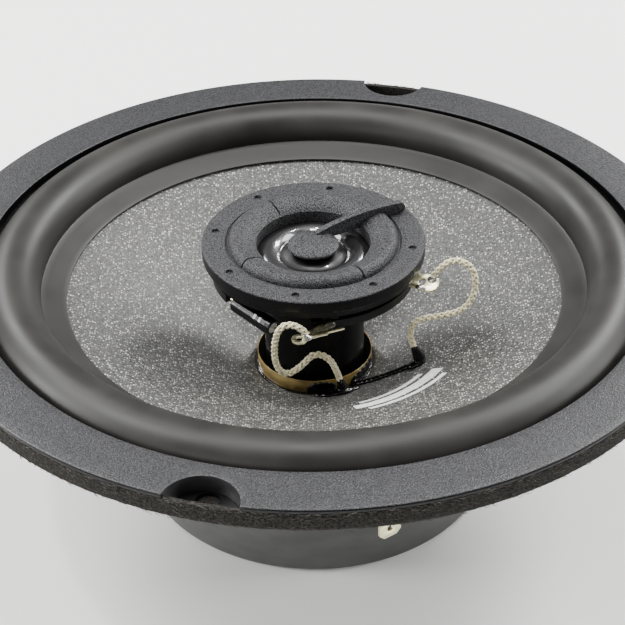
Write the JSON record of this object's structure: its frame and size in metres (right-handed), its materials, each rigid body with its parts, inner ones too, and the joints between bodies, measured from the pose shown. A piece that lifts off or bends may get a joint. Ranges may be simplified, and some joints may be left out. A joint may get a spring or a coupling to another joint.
{
  "type": "coaxial car speaker",
  "caption": "Round coaxial car loudspeaker: pressed steel basket, rubber-edged cone, dome tweeter on a central post, motor in a boot behind, screw holes in the rim.",
  "frame": {"origin": "on the axis, in the plane of the gasket's rear face, at the centre of the circle of screw holes", "axes": "+Z along the axis, out of the front; the two solder tabs' leads lie on the -Y side"},
  "size_m": [0.1656, 0.1656, 0.062],
  "materials": {
    "gloss_black_steel": "glossy black powder coat on pressed steel",
    "textured_black_plastic": "fine spark-eroded texture, moulded ABS",
    "grey_felt_foam": "fuzzy cut edge",
    "black_rubber": "smooth satin",
    "mica_poly_cone": "dark grey injected polypropylene with mica flecks",
    "amber_film": "amber polyimide film",
    "lacquered_copper": "lacquered copper wire",
    "clear_glue": "clear cured adhesive",
    "spider_cloth": "resin-dipped cotton",
    "zinc_plated_steel": "zinc plated",
    "ferrite": "sintered, dark grey",
    "smooth_grey_boot": "smooth satin moulded boot",
    "black_abs": "smooth moulded",
    "nickel_plate": "nickel plated neodymium",
    "gloss_black_film": "formed polyetherimide film, glossy",
    "tinned_brass": "tinned",
    "solder": "bright cold solder",
    "black_sleeve": "shrink sleeve with a plain pale stripe",
    "phenolic_board": "brown phenolic",
    "black_glue": "glossy black adhesive",
    "cream_braid": "cream cotton over tinsel wire"
  },
  "bodies": {
    "frame": {"basket": "gloss_black_steel", "trim_ring": "textured_black_plastic", "edge_gasket": "grey_felt_foam", "surround": "black_rubber", "spider": "spider_cloth", "top_plate": "zinc_plated_steel", "ferrite_magnet": "ferrite", "yoke": "zinc_plated_steel", "magnet_cover": "smooth_grey_boot", "motor_rivets": "zinc_plated_steel", "tweeter_post": "black_abs", "post_screw": "zinc_plated_steel", "tweeter_housing": "black_abs", "tweeter_yoke": "zinc_plated_steel", "tweeter_magnet": "nickel_plate", "tweeter_top_plate": "zinc_plated_steel", "tweeter_face": "textured_black_plastic", "dome_guard": "textured_black_plastic", "tweeter_tab_right": "tinned_brass", "tweeter_tab_left": "tinned_brass", "solder_joints": "solder", "capacitor": "black_sleeve", "capacitor_leads": "tinned_brass", "terminal_board": "phenolic_board", "terminal_positive": "tinned_brass", "terminal_negative": "tinned_brass", "terminal_rivets": "zinc_plated_steel"},
    "cone_assembly": {"cone": "mica_poly_cone", "voice_coil_former": "amber_film", "voice_coil_winding": "lacquered_copper", "neck_glue": "clear_glue", "lead_glue": "black_glue", "rear_lead_glue": "black_glue", "tweeter_lead_left": "cream_braid", "tweeter_lead_right": "cream_braid", "woofer_lead_positive": "cream_braid", "woofer_lead_negative": "cream_braid"},
    "tweeter_dome": {"tweeter_diaphragm": "gloss_black_film", "tweeter_voice_coil": "lacquered_copper"}
  },
  "joints": [
    {"name": "cone_excursion", "type": "slide", "parent": "frame", "child": "cone_assembly", "axis": [0, 0, 1], "range_m": [-0.0035, 0.0035], "stiffness_N_per_m": 2500, "deforming": ["surround", "spider", "tweeter_lead_left", "tweeter_lead_right", "woofer_lead_positive", "woofer_lead_negative"]},
    {"name": "tweeter_excursion", "type": "slide", "parent": "frame", "child": "tweeter_dome", "axis": [0, 0, 1], "range_m": [-0.0003, 0.0003], "stiffness_N_per_m": 2000, "deforming": ["tweeter_diaphragm"]}
  ]
}
